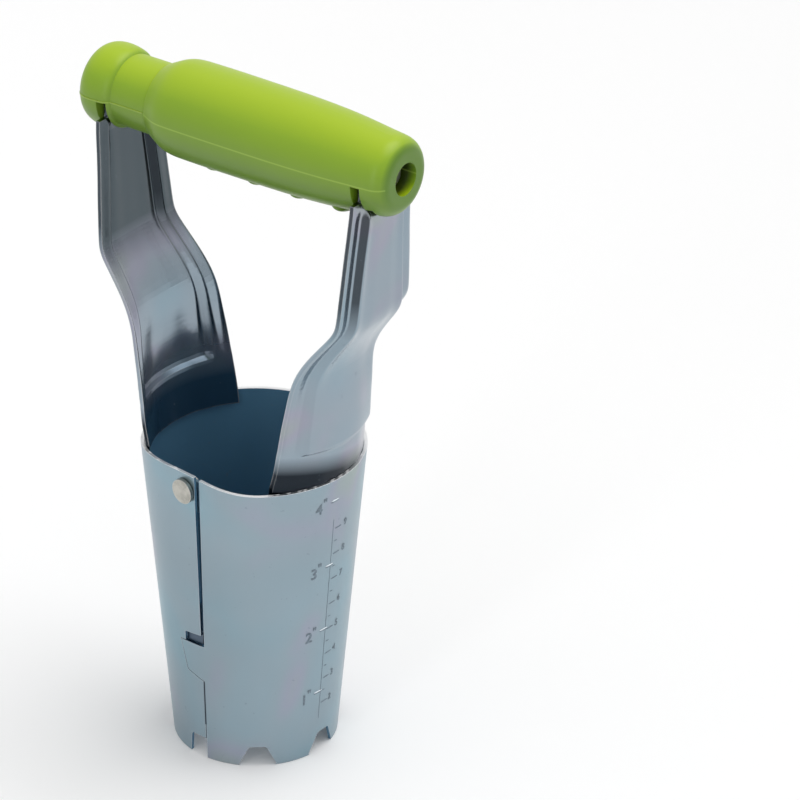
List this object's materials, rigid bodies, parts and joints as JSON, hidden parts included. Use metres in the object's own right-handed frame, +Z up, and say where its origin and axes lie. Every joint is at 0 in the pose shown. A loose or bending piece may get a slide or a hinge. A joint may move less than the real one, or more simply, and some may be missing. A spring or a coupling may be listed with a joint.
{
  "type": "bulb planter",
  "caption": "Hand bulb planter: a toothed, tapered two-part steel blade hung on pivots, two pressed steel arms and a sprung telescoping plastic handle that opens the blade when squeezed.",
  "frame": {"origin": "on the blade's axis, at the level of the tooth tips", "axes": "+Z up along the blade's axis to the handle, +X along the handle towards its open end, -Y towards the front seam"},
  "size_m": [0.123, 0.0718, 0.2402],
  "materials": {
    "zinc_steel": "bright zinc plated, faintly iridescent",
    "rivet_steel": "plain zinc plated",
    "green_plastic": "satin moulded",
    "bolt_steel": "bright plated",
    "spring_steel": "oiled wire"
  },
  "bodies": {
    "right_half": {"right_half_shell": "zinc_steel", "right_arm": "zinc_steel", "front_pivot_rivet": "rivet_steel", "rear_pivot_rivet": "rivet_steel", "front_rivet_washer": "rivet_steel", "rear_rivet_washer": "rivet_steel"},
    "left_half": {"left_half_shell": "zinc_steel", "left_arm": "zinc_steel"},
    "grip_side": {"grip": "green_plastic", "spring_washer": "bolt_steel", "return_spring": "spring_steel"},
    "collar_side": {"plunger": "green_plastic", "collar_plug": "green_plastic", "guide_bolt": "bolt_steel", "captive_nut": "bolt_steel", "bolt_washer": "bolt_steel"}
  },
  "joints": [
    {"name": "blade_hinge", "type": "hinge", "parent": "right_half", "child": "left_half", "pos_m": [-0.005, 0, 0.1032], "axis": [0, 1, 0], "range_deg": [0, 4], "stiffness_Nm_per_rad": 14, "springref_deg": -5.73, "deforming": ["return_spring"]},
    {"name": "grip_rock", "type": "hinge", "parent": "right_half", "child": "grip_side", "pos_m": [0.0512, 0, 0.2238], "axis": [0, 1, 0], "range_deg": [0, 1.8]},
    {"name": "collar_rock", "type": "hinge", "parent": "left_half", "child": "collar_side", "pos_m": [-0.0512, 0, 0.2238], "axis": [0, 1, 0], "range_deg": [-2.25, 0]}
  ],
  "couplings": [
    {"joint": "grip_rock", "follows": "blade_hinge", "ratio": 0.447},
    {"joint": "collar_rock", "follows": "blade_hinge", "ratio": -0.553}
  ]
}
